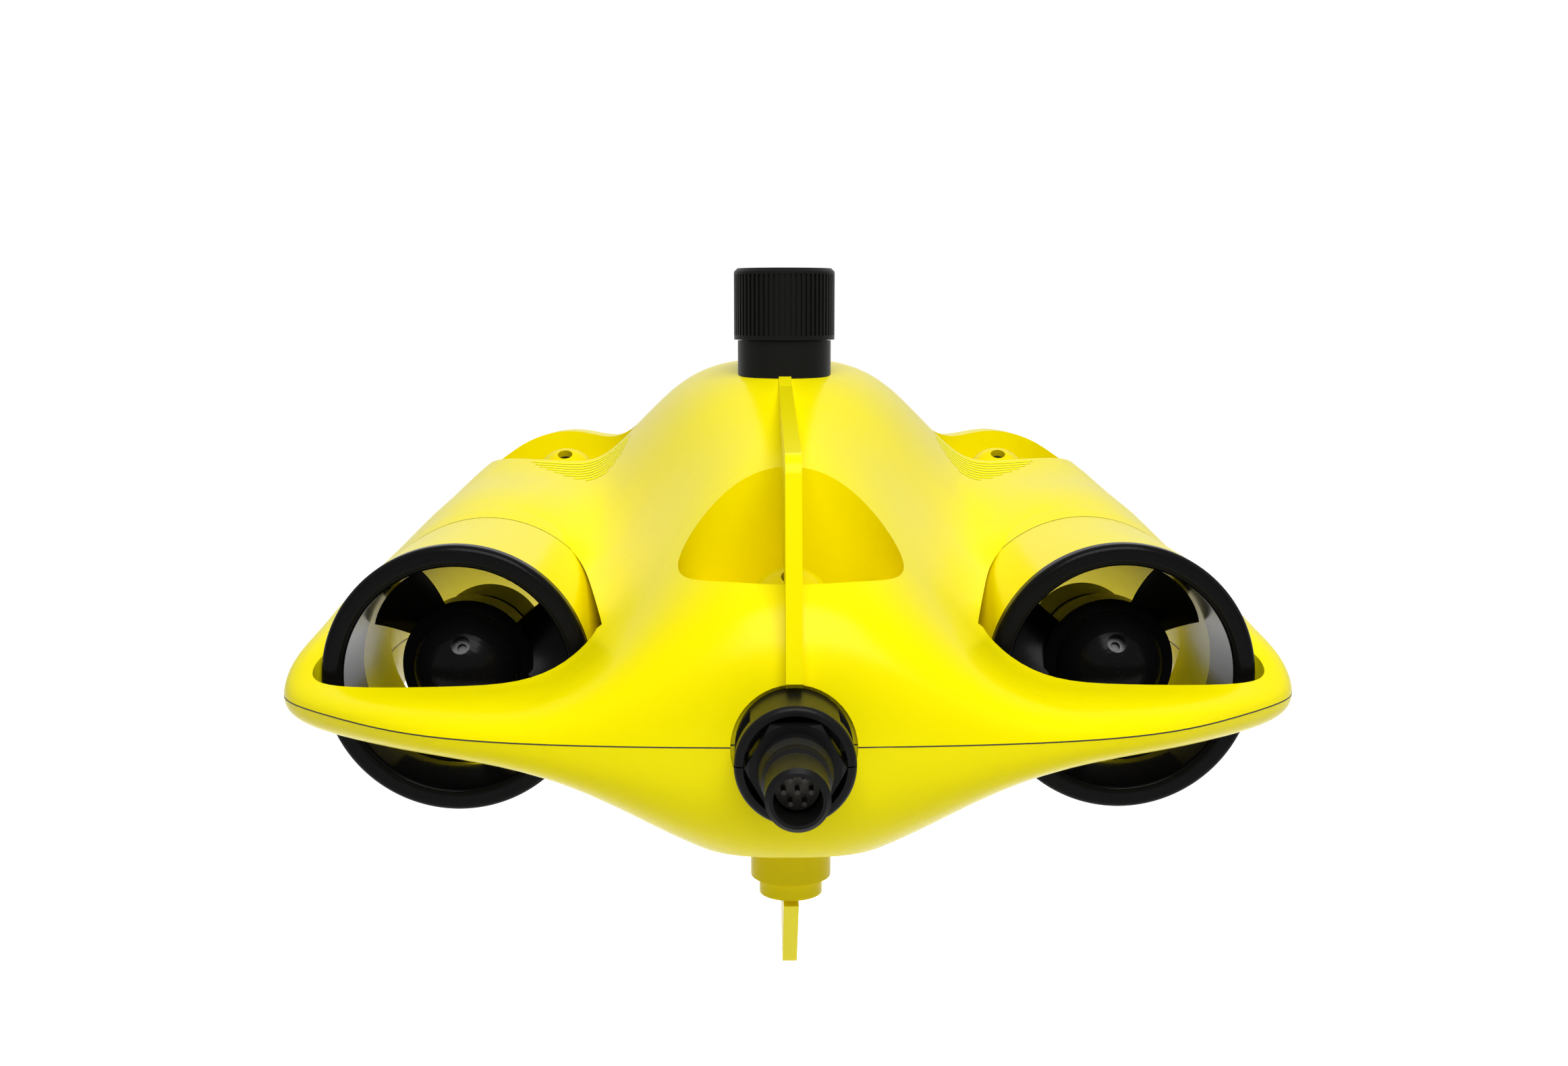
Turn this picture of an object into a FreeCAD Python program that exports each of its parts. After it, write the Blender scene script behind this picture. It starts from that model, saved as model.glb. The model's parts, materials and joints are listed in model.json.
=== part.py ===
"""Underwater inspection ROV: a manta-shaped hull with five ducted thrusters.

Working frame while modelling, in millimetres: x is starboard, y is forward
with y = 0 at the rear rims of the main ducts, z is up with z = 0 on their
axes.  Everything is moved to the centre of the overall box on export.
"""
import FreeCAD, Part
import math
import os

V = FreeCAD.Vector
X_AXIS, Y_AXIS, Z_AXIS = V(1, 0, 0), V(0, 1, 0), V(0, 0, 1)

# ---- hull ------------------------------------------------------------------
HULL_TAIL_Y = -44.5         # rearmost point of the hull edge
HULL_NOSE_Y = 300.0         # where the hull's lines would close at the nose
SEAM_Z = -4.0               # plane on which the two shells meet
SHELL_WALL = 2.8
NOSE_CUT_Y = 276.0          # the shells end here and the bezel starts
BEZEL_LENGTH = 9.0
RIM_SHARPNESS = 5.0         # how quickly the wing's rounded rim reaches its height
BODY_FADE = 4.0             # how steeply the body rises from the rim
BLEND_POWER = 4.0           # blends wing, body and nacelle: higher is a tighter fillet
NET_ACROSS, NET_ALONG = 37, 53      # control points of the hull surface
HULL_CLEAR = 130.0          # reach of cutting tools past the hull's sides and ends
SEAT = 0.3                  # gap of parts that sit loosely against others

# ---- rear thrusters --------------------------------------------------------
REAR_X = 74.2
SHROUD_R = 30.0
SHROUD_WALL = 1.5
SHROUD_LENGTH = 49.0
RING_WALL = 4.9             # from the shroud's outside to the duct's bore
RING_LIP = 4.0              # part of the ring that stands behind the shroud
RING_LENGTH = 21.0
RING_R = SHROUD_R - SHROUD_WALL
DUCT_BORE_R = SHROUD_R - RING_WALL
RIM_ROUND = 1.6
BLADE_GAP = 0.7             # radial gap from a rear blade to its duct
BLADE_COUNT = 3
BLADE_T = 1.9
BLADE_EDGE = 0.4            # thickness left at a blade's edges
BLADE_SWEEP = 0.16          # how far a tip lags, as a share of the chord
REAR_HUB_R = 15.0
REAR_HUB_FRONT_Y = 24.0     # forward face of the turning hub
REAR_HUB_HEIGHT = 19.0
REAR_COLLAR = 8.0           # length of the hub's straight part
REAR_DOME_R = 13.0
REAR_BLADE_Y = 20.0
REAR_CHORD = 21.0
REAR_PITCH = 62.0
REAR_PHASE = 14.0           # angle of the first blade
REAR_SHAFT_SEAT = 8.0       # how far a shaft goes into a rear hub
REAR_POD_R = 13.2
REAR_POD_LENGTH = 34.0
POD_GROOVE = 0.7
STRUT_T = 2.6
LOOP_GAP = 1.4              # plan gap between a ring and the wing around it
LOOP_DEPTH = 13.0           # how far the wing opening reaches behind a ring
POCKET_GAP = 2.7            # room round the rear of a shroud in the hull's pocket
POCKET_SHIFT = 2.4          # how far that pocket leans towards the body
SCOOP_ANGLE = 33.0          # slope of the intake roof ahead of a shroud

# ---- front vertical thrusters ----------------------------------------------
FRONT_X = 66.0
FRONT_Y = 150.0
FRONT_DUCT_R = 23.5
FRONT_HUB_TOP_Z = 38.5
FRONT_POD_BOTTOM_Z = -11.0
FRONT_STRUT_Z = 2.0
LOUVER_COUNT = 8
LOUVER_WIDTH = 1.1
LOUVER_PITCH = 2.7
LOUVER_DEPTH_Z = (24.0, 60.0)
LOUVER_FIRST = 3.2          # land between the duct mouth and the first slit
LOUVER_AIM = 73.0           # middle of the slits, turned from inboard to astern
LOUVER_SPAN = 64.0          # angle of the first slit
LOUVER_TAPER = 8.0          # angle that each next slit loses

# ---- tail vertical thruster ------------------------------------------------
TAIL_Y = -8.0
TAIL_DUCT_R = 24.3
TAIL_HUB_TOP_Z = 26.5
TAIL_POD_BOTTOM_Z = -46.0
TAIL_POD_STEP = 4.0
TAIL_STRUT_Z = -24.0

# ---- parts shared by the vertical thrusters --------------------------------
HUB_BEVEL = 1.6             # length of the bevel between a hub's collar and nose
VERT_HUB_R = 9.5
VERT_BLADE_GAP = 1.0        # radial gap from a blade tip to its duct
VERT_POD_R = 8.8
VERT_HUB_HEIGHT = 15.0
VERT_COLLAR = 6.0
VERT_DOME_R = 9.2
VERT_BLADE_Z = 4.5
VERT_CHORD = 13.0
VERT_PITCH = 48.0
VERT_PHASE = 20.0
SPIN_GAP = 0.8              # gap from a turning hub to its motor
SHAFT_R = 2.0
SHAFT_FIT = 0.05
SHAFT_REACH = 15.0          # how far a shaft goes into its motor
SHAFT_SEAT = 5.0            # how far a shaft goes into a vertical hub
HOLE_TILT = 30.0            # lean of the hub's screw hole from the axis
HOLE_R = 2.2
HOLE_DEPTH = 4.5
GRUB_LENGTH = 2.0

# ---- fins ------------------------------------------------------------------
FIN_THICKNESS = 3.3
FIN_TOP_FRONT_Z = 61.5
FIN_TOP_REAR_Z = 53.0
FIN_REAR_Y = -36.0
FIN_FOOT_Y = -47.5
FIN_CORNER_R = 5.0
KEEL_BOTTOM_Z = -68.0
KEEL_CORNER_R = 4.0

# ---- top port --------------------------------------------------------------
PORT_Y = 93.0
NECK_R = 12.6
NECK_BASE_Z = 56.0
CAP_R = 13.6
CAP_BOTTOM_Z = 73.0
CAP_TOP_Z = 92.0
KNURL_COUNT = 60
KNURL_DEPTH = 0.45
KNURL_WIDTH = 0.64
PORT_BORE_R = 8.8
THREAD_R = 10.9
THREAD_FIT = 0.1
THREAD_TOP_Z = 86.0
CAP_ROOF = 3.6
CAP_EDGE = 0.9
PLUG_STEM_R = 2.0
GLAND_WIDTH = 1.6
GLAND_DEPTH = 1.4

# ---- tail connector --------------------------------------------------------
CONN_Z = -4.0
CONN_RECESS_R = 12.6
CONN_FLANGE_R = 11.7
CONN_FLANGE_REAR_Y = -58.0
CONN_SEAT_Y = -42.0
CONN_END_Y = CONN_SEAT_Y + 6.0
CONN_BODY_R = 7.1
CONN_NOSE_REAR_Y = -80.0
CONN_NOSE_R = 5.9
CONN_BORE_R = 4.45
CONN_BORE_DEPTH = 11.0
CONN_NUT_R = 9.7
CONN_NUT_LENGTH = 6.0
CLAMP_BORE_R = 9.9
CLAMP_SPLIT = 0.15          # half the gap between the clamp's two halves
PIN_R = 0.45
PIN_LENGTH = 5.5
PIN_CIRCLE_R = 2.5

# ---- nose ------------------------------------------------------------------
NOSE_Z = 6.5
DOME_R = 25.0
DOME_WALL = 2.2
DOME_FLANGE = 2.4           # step of the dome's foot beyond its sphere
DOME_FLANGE_T = 3.2
NOSE_TIP_Y = 305.0
LAMP_R = 4.2
LAMP_SHELL_R = 5.4
LAMP_LAND = 0.7             # bezel between the dome's foot and a lamp
LAMP_X = DOME_R + DOME_FLANGE + LAMP_LAND + LAMP_SHELL_R
LED_HALF = 1.3

# ---- belly accessory thread --------------------------------------------------
INSERT_Y = 86.0
INSERT_R = 5.5
INSERT_THREAD_R = 3.175
INSERT_DEPTH = 9.0
BELLY_FLAT_Z = -38.0
BOSS_WALL = 2.5

# ---- inside ----------------------------------------------------------------
TUBE_R = 29.0
TUBE_WALL = 2.0
TUBE_REAR_Y = 82.0
TUBE_Z = 14.0
TUBE_END_ROOM = 16.0        # from each end of the tube to the cells
CAP_FLANGE_T = 4.0
CAP_SPIGOT = 8.0
CRADLE_T = 3.0
CRADLE_YS = (128.0, 222.0)
CRADLE_HALF = 25.0
BALLAST_HALF = 15.0
BALLAST_YS = (140.0, 210.0)
BALLAST_TOP_Z = -31.0

CELL_R = 9.3
CELL_X = 10.2
CELL_LENGTH = 65.0
CELL_SPACING = 2.0
CELL_GAP = 0.1              # from a cell to the tube's wall
BOARD_T = 1.6
BOARD_HALF = 20.0
TUBE_FRONT_Y = TUBE_REAR_Y + 2 * CELL_LENGTH + CELL_SPACING + 2 * TUBE_END_ROOM

# ---- hull screws ------------------------------------------------------------
SCREW_PLACES = [(side * x, y) for side in (-1, 1) for x, y in ((34, 60), (37, 112), (38, 196))]
SCREW_POST_R = 4.6
SCREW_R = 1.5
SCREW_HEAD_R = 2.9
SCREW_HEAD_T = 2.6
SCREW_SOCKET_R = 1.2
SCREW_HEAD_Z = -16.0
SCREW_TOP_Z = 12.0

PARTS = {}


def smooth_through(stations):
    """Natural cubic spline through (y, value) pairs, held level outside."""
    ys = [s[0] for s in stations]
    vs = [s[1] for s in stations]
    n = len(ys)
    h = [ys[i + 1] - ys[i] for i in range(n - 1)]
    alpha = [0.0] * n
    for i in range(1, n - 1):
        rise = (vs[i + 1] - vs[i]) / h[i] - (vs[i] - vs[i - 1]) / h[i - 1]
        alpha[i] = 3.0 * rise
    diag, ratio, rest = [1.0] * n, [0.0] * n, [0.0] * n
    for i in range(1, n - 1):
        diag[i] = 2.0 * (ys[i + 1] - ys[i - 1]) - h[i - 1] * ratio[i - 1]
        ratio[i] = h[i] / diag[i]
        rest[i] = (alpha[i] - h[i - 1] * rest[i - 1]) / diag[i]
    c, b, d = [0.0] * n, [0.0] * n, [0.0] * n
    for i in range(n - 2, -1, -1):
        c[i] = rest[i] - ratio[i] * c[i + 1]
        b[i] = (vs[i + 1] - vs[i]) / h[i] - h[i] * (c[i + 1] + 2 * c[i]) / 3.0
        d[i] = (c[i + 1] - c[i]) / (3.0 * h[i])

    def value(y):
        y = min(max(y, ys[0]), ys[-1])
        i = max(k for k in range(n - 1) if ys[k] <= y)
        t = y - ys[i]
        return vs[i] + t * (b[i] + t * (c[i] + t * d[i]))

    return value


# Lines of the hull, each as (y, value) stations.  Rises and drops count from
# the seam plane; the plan factor times an ellipse gives the half width.
PLAN_FACTOR = smooth_through([(-44, 285), (-38, 240), (-30, 205), (-5, 172), (20, 145),
                              (50, 127), (90, 114), (150, 100), (200, 89), (250, 85), (300, 87)])
BODY_RISE = smooth_through([(-44, 36), (-32, 37.5), (-8, 44), (16, 50.5), (60, 61.5), (80, 67),
                            (93, 69), (130, 70.5), (180, 67), (230, 60), (265, 54), (300, 50)])
BODY_HALF_WIDTH = smooth_through([(-44, 40), (20, 41), (60, 46), (93, 52), (130, 58),
                                  (180, 59), (230, 61), (270, 66), (300, 68)])
BODY_FULLNESS = smooth_through([(-44, 2.5), (20, 2.5), (60, 2.7), (93, 3.1), (130, 3.4),
                                (300, 3.2)])
WING_RISE = smooth_through([(-44, 6), (-20, 6.2), (-3, 7.5), (6, 12.5), (16, 16), (32, 19),
                            (60, 20), (90, 22), (130, 22), (180, 19), (230, 15), (300, 10)])
NACELLE_RISE = smooth_through([(8, 0), (20, 3), (35, 15), (49, 31.5), (60, 35.2), (76, 36.8),
                               (107, 38), (126, 40.5), (150, 44.5), (173, 46.8), (186, 47.5),
                               (220, 34), (255, 14), (280, 4), (300, 0)])
NACELLE_HALF_WIDTH = smooth_through([(35, 28), (49, 29.5), (75, 33), (107, 36), (150, 37.5), (200, 36),
                                     (300, 36)])
NACELLE_FULLNESS = 3.0
WING_DROP = smooth_through([(-44, 7), (-20, 8), (0, 8.4), (20, 9), (60, 11), (150, 14),
                            (250, 11), (300, 10)])
BODY_DROP = smooth_through([(-44, 21.5), (-10, 28), (50, 30), (120, 27), (180, 24),
                            (230, 22), (265, 22), (300, 21)])
BELLY_HALF_WIDTH = smooth_through([(-44, 40), (60, 41), (130, 41), (180, 45), (230, 55),
                                   (270, 64), (300, 68)])
BELLY_FULLNESS = 2.4


def bell(distance, half_width, fullness):
    """Smooth hump that is 1 in the middle and fades to 0."""
    return math.exp(-(abs(distance) / half_width) ** fullness)


def plan_point(s, t, inset):
    """Hull plan position and edge factor for square coordinates -1 to 1."""
    cx, cy = s * math.sqrt(1 - t * t / 2), t * math.sqrt(1 - s * s / 2)
    half_length = (HULL_NOSE_Y - HULL_TAIL_Y) / 2
    middle = (HULL_NOSE_Y + HULL_TAIL_Y) / 2
    y = middle + (half_length - inset) * cy
    edge = math.sqrt(max(0.0, (1 - s * s) * (1 - t * t)))
    return (PLAN_FACTOR(middle + half_length * cy) - inset) * cx, y, edge


def upper_height(x, y, edge, wall):
    """Top of the hull: wing, body and two nacelles blended into one skin."""
    fade = 1 - (1 - edge) ** BODY_FADE
    rim = 1 - (1 - edge) ** RIM_SHARPNESS
    forms = [WING_RISE(y) * rim, fade * BODY_RISE(y) * bell(x, BODY_HALF_WIDTH(y), BODY_FULLNESS(y))]
    for side in (-1, 1):
        offset = x - side * REAR_X
        forms.append(fade * NACELLE_RISE(y) * bell(offset, NACELLE_HALF_WIDTH(y), NACELLE_FULLNESS))
    height = sum(max(f, 0.0) ** BLEND_POWER for f in forms) ** (1 / BLEND_POWER)
    return SEAM_Z + height - wall * edge


def lower_height(x, y, edge, wall):
    """Underside of the hull: a thin wing with the body's keel below it."""
    fade = 1 - (1 - edge) ** BODY_FADE
    rim = 1 - (1 - edge) ** RIM_SHARPNESS
    belly = fade * BODY_DROP(y) * bell(x, BELLY_HALF_WIDTH(y), BELLY_FULLNESS)
    return SEAM_Z - WING_DROP(y) * rim - belly + wall * edge


def spline_sheet(poles):
    """Cubic B-spline face over a rectangular net of control points."""
    knots, mults = [], []
    for count in (len(poles), len(poles[0])):
        spans = count - 3
        knots.append([float(k) for k in range(spans + 1)])
        mults.append([4] + [1] * (spans - 1) + [4])
    surface = Part.BSplineSurface()
    surface.buildFromPolesMultsKnots(poles, mults[0], mults[1], knots[0], knots[1],
                                     False, False, 3, 3)
    return surface.toShape()


def hull_half(height, inset):
    """Solid between the seam plane and one side of the hull's outer surface."""
    across, along = NET_ACROSS, NET_ALONG
    grid = []
    for i in range(across):
        s = math.sin(math.pi / 2 * (2 * i / (across - 1) - 1))
        row = []
        for j in range(along):
            t = math.sin(math.pi / 2 * (2 * j / (along - 1) - 1))
            x, y, edge = plan_point(s, t, inset)
            row.append(V(x, y, height(x, y, edge, inset)))
        grid.append(row)
    skin = spline_sheet(grid)
    rim = Part.Wire(Part.__sortEdges__(skin.Edges))
    floor = Part.Face(Part.Plane(V(0, 0, SEAM_Z), Z_AXIS), rim)
    shell = Part.Shell([skin, floor])
    solid = Part.Solid(shell)
    if solid.Volume < 0:
        solid.reverse()
    return solid


def rod_y(x, z, radius, start, end):
    return Part.makeCylinder(radius, end - start, V(x, start, z), Y_AXIS)


def rod_z(x, y, radius, start, end):
    return Part.makeCylinder(radius, end - start, V(x, y, start), Z_AXIS)


def block(x0, x1, y0, y1, z0, z1):
    return Part.makeBox(x1 - x0, y1 - y0, z1 - z0, V(x0, y0, z0))


def turned(profile, axis_start=V(0, 0, 0)):
    """Revolve a closed (radius, height) profile about +Z."""
    points = [V(r, 0, h) for r, h in profile]
    face = Part.Face(Part.makePolygon(points + [points[0]]))
    solid = face.revolve(V(0, 0, 0), Z_AXIS, 360)
    solid.translate(axis_start)
    return solid


def aimed_back(shape, x, y, z):
    """Turn a shape drawn along +Z to point along -Y, with its base at x, y, z."""
    shape.rotate(V(0, 0, 0), X_AXIS, 90)
    shape.translate(V(x, y, z))
    return shape


def keep(name, shape):
    PARTS[name] = shape


def keep_pair(name, shape, side):
    """Keep a shape drawn on one side, and its mirror image on the other."""
    other = shape.mirror(V(0, 0, 0), X_AXIS)
    left, right = (shape, other) if side < 0 else (other, shape)
    keep(name + "_left", left)
    keep(name + "_right", right)


# ---- openings that cross both shells ----------------------------------------
def loop_prism(side, grow):
    """Plan opening in the wing behind a main duct."""
    ellipse = Part.Ellipse(V(0, 0, 0), SHROUD_R + LOOP_GAP + grow, LOOP_DEPTH + grow)
    face = Part.Face(Part.Wire(ellipse.toShape()))
    prism = face.extrude(V(0, 0, 120))
    prism.translate(V(side * REAR_X, 0, -60))
    return prism


def pocket(side, grow):
    """Room for a shroud in the hull, wider at the rear and towards the body."""
    rear = V(side * (REAR_X - POCKET_SHIFT), -0.5 - grow, 0)
    front = V(side * REAR_X, SHROUD_LENGTH, 0)
    rings = [Part.Wire(Part.Circle(rear, Y_AXIS, SHROUD_R + POCKET_GAP + grow).toShape()),
             Part.Wire(Part.Circle(front, Y_AXIS, SHROUD_R + grow).toShape())]
    room = Part.makeLoft(rings, True, True)
    return room.fuse(rod_y(side * REAR_X, 0, SHROUD_R + grow, 0, SHROUD_LENGTH + grow))


def scoop(side, grow):
    """Sloping intake that runs from a shroud's mouth down and forward."""
    radius = DUCT_BORE_R + grow
    tilt = math.radians(SCOOP_ANGLE)
    heading = V(0, math.cos(tilt), -math.sin(tilt))
    mouth = V(side * REAR_X, SHROUD_LENGTH, 0)
    bore = Part.makeCylinder(radius, 150, mouth - heading * 40, heading)
    ahead = block(side * REAR_X - 40, side * REAR_X + 40, SHROUD_LENGTH - grow, 200, -90, 60)
    return bore.common(ahead)


def open_ways(grow):
    """Every duct and opening of the hull, each grown by a wall thickness."""
    ways = [rod_z(0, TAIL_Y, TAIL_DUCT_R + grow, -70, 90)]
    for side in (-1, 1):
        ways.append(rod_z(side * FRONT_X, FRONT_Y, FRONT_DUCT_R + grow, -70, 90))
        ways.append(pocket(side, grow))
        ways.append(loop_prism(side, grow))
        ways.append(scoop(side, grow))
    ways.append(rod_y(0, CONN_Z, CONN_RECESS_R + grow, -80, CONN_SEAT_Y + grow))
    ways.append(rod_y(0, CONN_Z, CONN_BODY_R + grow, -80, CONN_END_Y + grow))
    return ways


# ---- hull shells ------------------------------------------------------------
def nacelle(side):
    """Round collar that meets a shroud flush and sinks forward into the hull."""
    rings = []
    for ahead, rise, radius in ((0, 0, SHROUD_R), (16, 1.2, SHROUD_R + 0.8),
                                (34, 1.0, SHROUD_R + 0.6), (54, -1.0, SHROUD_R - 2)):
        centre = V(side * REAR_X, SHROUD_LENGTH + ahead, rise)
        rings.append(Part.Wire(Part.Circle(centre, Y_AXIS, radius).toShape()))
    body = Part.makeLoft(rings, True, False)
    return body.common(block(-HULL_CLEAR, HULL_CLEAR, 0, 200, SEAM_Z, 90))


def louvers(side):
    """Curved slits behind the front duct's mouth, each shorter than the last."""
    low, high = LOUVER_DEPTH_Z
    slits = []
    for i in range(LOUVER_COUNT):
        inner = FRONT_DUCT_R + LOUVER_FIRST + i * LOUVER_PITCH
        span = LOUVER_SPAN - LOUVER_TAPER * i
        centre = 180 + LOUVER_AIM if side > 0 else -LOUVER_AIM
        band = rod_z(0, 0, inner + LOUVER_WIDTH, low, high).cut(rod_z(0, 0, inner, low, high))
        wedge = Part.makeCylinder(inner + LOUVER_PITCH, high - low, V(0, 0, low), Z_AXIS, span)
        wedge.rotate(V(0, 0, 0), Z_AXIS, centre - span / 2)
        slit = band.common(wedge)
        slit.translate(V(side * FRONT_X, FRONT_Y, 0))
        slits.append(slit)
    return slits


def screw_holes():
    holes = []
    for x, y in SCREW_PLACES:
        holes.append(rod_z(x, y, SCREW_R, SCREW_HEAD_Z, SCREW_TOP_Z))
        holes.append(rod_z(x, y, SCREW_HEAD_R, -70, SCREW_HEAD_Z))
    return holes


def hull_shells():
    upper = hull_half(upper_height, 0.0)
    upper = upper.fuse([nacelle(-1), nacelle(1)]).removeSplitter()
    lower = hull_half(lower_height, 0.0)
    posts = [rod_z(x, y, SCREW_POST_R, -60, 60) for x, y in SCREW_PLACES]
    neck_boss = rod_z(0, PORT_Y, NECK_R + BOSS_WALL, NECK_BASE_Z - BOSS_WALL, 80)
    insert_boss = rod_z(0, INSERT_Y, INSERT_R + BOSS_WALL, -60,
                        BELLY_FLAT_Z + INSERT_DEPTH + BOSS_WALL)
    solid_here = open_ways(SHELL_WALL * 0.8) + posts + [neck_boss, insert_boss]
    upper_void = hull_half(upper_height, SHELL_WALL).cut(solid_here)
    lower_void = hull_half(lower_height, SHELL_WALL).cut(solid_here)
    nose_end = block(-HULL_CLEAR, HULL_CLEAR, NOSE_CUT_Y, 320, -90, 90)
    ways = open_ways(0.0)
    neck_hole = rod_z(0, PORT_Y, NECK_R, NECK_BASE_Z, 90)
    slits = louvers(-1) + louvers(1)
    upper_shell = upper.cut([upper_void, nose_end, neck_hole] + ways + slits + screw_holes())
    insert_hole = rod_z(0, INSERT_Y, INSERT_R, -60, BELLY_FLAT_Z + INSERT_DEPTH)
    lower_shell = lower.cut([lower_void, nose_end, insert_hole] + ways + screw_holes())
    outer = upper.fuse(lower)
    return upper_shell, lower_shell, upper_void, lower_void, outer, ways


# ---- propellers -------------------------------------------------------------
def blade_section(chord, thickness):
    """Two shallow arcs with blunt edges, drawn flat with the chord along x."""
    tip, crown, edge = chord / 2, thickness / 2, BLADE_EDGE / 2
    return Part.Wire([Part.Arc(V(-tip, edge, 0), V(0, crown, 0), V(tip, edge, 0)).toShape(),
                      Part.LineSegment(V(tip, edge, 0), V(tip, -edge, 0)).toShape(),
                      Part.Arc(V(tip, -edge, 0), V(0, -crown, 0), V(-tip, -edge, 0)).toShape(),
                      Part.LineSegment(V(-tip, -edge, 0), V(-tip, edge, 0)).toShape()])


def blade(hub_r, tip_r, chord, pitch, hand):
    """Twisted, swept blade along +X for a hub that turns about +Z."""
    sections = 5
    root_r = hub_r - 2.0
    reach = tip_r + 1.5 - root_r
    wires = []
    for i in range(sections):
        part = i / (sections - 1)
        r = root_r + reach * part
        twist = math.degrees(math.atan(pitch / (2 * math.pi * r)))
        wire = blade_section(chord * (0.72 + 0.40 * part), BLADE_T * (1.25 - 0.5 * part))
        wire.rotate(V(0, 0, 0), Y_AXIS, 90)
        wire.rotate(V(0, 0, 0), X_AXIS, 90 + hand * twist)
        wire.translate(V(r, -hand * BLADE_SWEEP * chord * part ** 2, 0))
        wires.append(wire)
    sweep = Part.makeLoft(wires, True, False)
    return sweep.common(Part.makeCylinder(tip_r, 80, V(0, 0, -40), Z_AXIS))


def propeller(hub_profile, hub_r, blade_z, tip_r, chord, pitch, hand, phase):
    """Hub and its blades; the nose of the hub points along +Z."""
    body = turned(hub_profile)
    for i in range(BLADE_COUNT):
        vane = blade(hub_r, tip_r, chord, pitch, hand)
        vane.translate(V(0, 0, blade_z))
        vane.rotate(V(0, 0, 0), Z_AXIS, phase + 360 / BLADE_COUNT * i)
        body = body.fuse(vane)
    return body


def dome_profile(base_r, base_h, sphere_r, sphere_z):
    """Hub outline: a collar, a short bevel and a round nose."""
    steps = 14
    outline = [(0, 0), (base_r, 0), (base_r, base_h)]
    start = math.acos((base_h + HUB_BEVEL - sphere_z) / sphere_r)
    for i in range(steps + 1):
        angle = start * (1 - i / steps)
        outline.append((sphere_r * math.sin(angle), sphere_z + sphere_r * math.cos(angle)))
    return outline


def nose_hole(sphere_r, sphere_z, lean, radius, outer, inner):
    """Cylinder bored into a round hub nose, leaning away from its axis.

    It runs from the inner to the outer distance, both counted from the nose.
    """
    direction = V(math.sin(math.radians(HOLE_TILT)), 0, math.cos(math.radians(HOLE_TILT)))
    bore = Part.makeCylinder(radius, outer - inner, direction * (sphere_r + inner), direction)
    bore.translate(V(0, 0, sphere_z))
    bore.rotate(V(0, 0, 0), Z_AXIS, lean)
    return bore


def grub_screw(sphere_r, sphere_z, lean):
    screw = nose_hole(sphere_r, sphere_z, lean, HOLE_R, GRUB_LENGTH - HOLE_DEPTH, -HOLE_DEPTH)
    socket = nose_hole(sphere_r, sphere_z, lean, HOLE_R * 0.5, 0, 1 - HOLE_DEPTH)
    return screw.cut(socket)


def rear_pod(x, front):
    """Motor can with two grooves and three struts, behind a rear hub."""
    groove_ys = (4.0, 7.5)
    groove_length, bevel = 1.0, 0.4
    profile = [(0, 0), (REAR_POD_R, 0)]
    for z in groove_ys:
        profile += [(REAR_POD_R, z), (REAR_POD_R - POD_GROOVE, z + bevel),
                    (REAR_POD_R - POD_GROOVE, z + bevel + groove_length),
                    (REAR_POD_R, z + groove_length + 2 * bevel)]
    profile += [(REAR_POD_R, REAR_POD_LENGTH - 9), (REAR_POD_R - 2.2, REAR_POD_LENGTH - 3.5),
                (REAR_POD_R - 7, REAR_POD_LENGTH), (0, REAR_POD_LENGTH)]
    pod = turned(profile)
    pod.rotate(V(0, 0, 0), X_AXIS, -90)
    pod.translate(V(x, front, 0))
    strut_end = SHROUD_LENGTH - 3
    for i in range(3):
        strut = block(-STRUT_T / 2, STRUT_T / 2, strut_end - 9, strut_end, REAR_POD_R - 1,
                      DUCT_BORE_R + 1)
        strut.rotate(V(0, 0, 0), Y_AXIS, 60 + 120 * i)
        strut.translate(V(x, 0, 0))
        pod = pod.fuse(strut.common(rod_y(x, 0, DUCT_BORE_R, 0, SHROUD_LENGTH)))
    return pod.cut(rod_y(x, 0, SHAFT_R + SHAFT_FIT, front - 1, front + SHAFT_REACH + 1))


def rear_thrusters():
    """Left ducted thruster, and its mirror image on the right."""
    x = -REAR_X
    bore = rod_y(x, 0, DUCT_BORE_R, -1, SHROUD_LENGTH + 1)
    shroud = rod_y(x, 0, SHROUD_R, RING_LIP, SHROUD_LENGTH)
    keep_pair("rear_shroud", shroud.cut([rod_y(x, 0, RING_R, -1, RING_LENGTH), bore]), -1)

    ring = rod_y(x, 0, RING_R, 0, RING_LENGTH).fuse(rod_y(x, 0, SHROUD_R, 0, RING_LIP)).cut(bore)
    rim = [e for e in ring.Edges if abs(e.BoundBox.YMax) < 0.01 and e.Length > 20]
    keep_pair("duct_ring", ring.makeFillet(RIM_ROUND, rim), -1)

    front = REAR_HUB_FRONT_Y + SPIN_GAP
    keep_pair("motor_pod", rear_pod(x, front), -1)

    dome_z = REAR_HUB_HEIGHT - REAR_DOME_R
    profile = dome_profile(REAR_HUB_R, REAR_COLLAR, REAR_DOME_R, dome_z)
    prop = propeller(profile, REAR_HUB_R, REAR_HUB_FRONT_Y - REAR_BLADE_Y, DUCT_BORE_R - BLADE_GAP,
                     REAR_CHORD, REAR_PITCH, -1, REAR_PHASE)
    lean = 90
    prop = prop.cut([nose_hole(REAR_DOME_R, dome_z, lean, HOLE_R, HOLE_DEPTH, -HOLE_DEPTH),
                     Part.makeCylinder(SHAFT_R, REAR_SHAFT_SEAT, V(0, 0, 0), Z_AXIS)])
    keep_pair("propeller", aimed_back(prop, x, REAR_HUB_FRONT_Y, 0), -1)
    screw = grub_screw(REAR_DOME_R, dome_z, lean)
    keep_pair("hub_screw", aimed_back(screw, x, REAR_HUB_FRONT_Y, 0), -1)
    shaft = rod_y(x, 0, SHAFT_R, REAR_HUB_FRONT_Y - REAR_SHAFT_SEAT, front + SHAFT_REACH)
    keep_pair("shaft", shaft, -1)


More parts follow.
